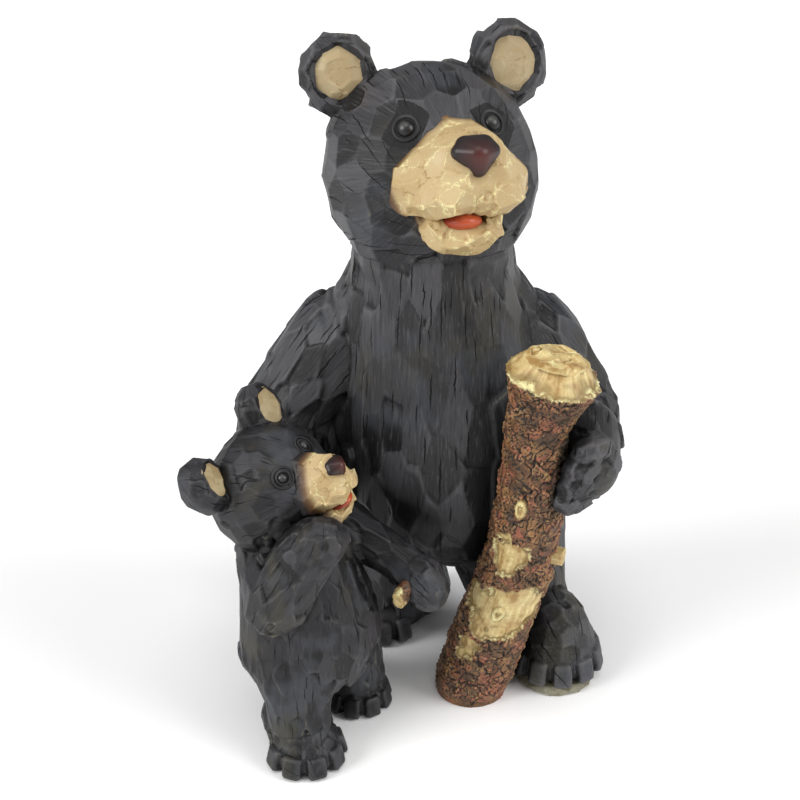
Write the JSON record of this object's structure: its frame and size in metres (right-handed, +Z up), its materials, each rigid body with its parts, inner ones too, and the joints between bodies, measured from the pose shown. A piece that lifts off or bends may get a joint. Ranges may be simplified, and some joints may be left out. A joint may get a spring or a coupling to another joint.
{
  "type": "bear family statue",
  "caption": "Free-standing statue of a mother bear holding an upright log, with her cub looking up beside her, in a chisel-carved wood look",
  "frame": {"origin": "on the ground, under the middle of the statue's bounding box", "axes": "+Z up; the mother bear's front faces -Y, and the cub stands on her right hand side, at -X"},
  "size_m": [0.4057, 0.3443, 0.6311],
  "materials": {
    "painted_resin": "satin charcoal paint with dry-brushed grey edges over a rough-carved cast surface"
  },
  "bodies": {
    "root": {"bear_family": "painted_resin"}
  },
  "joints": []
}
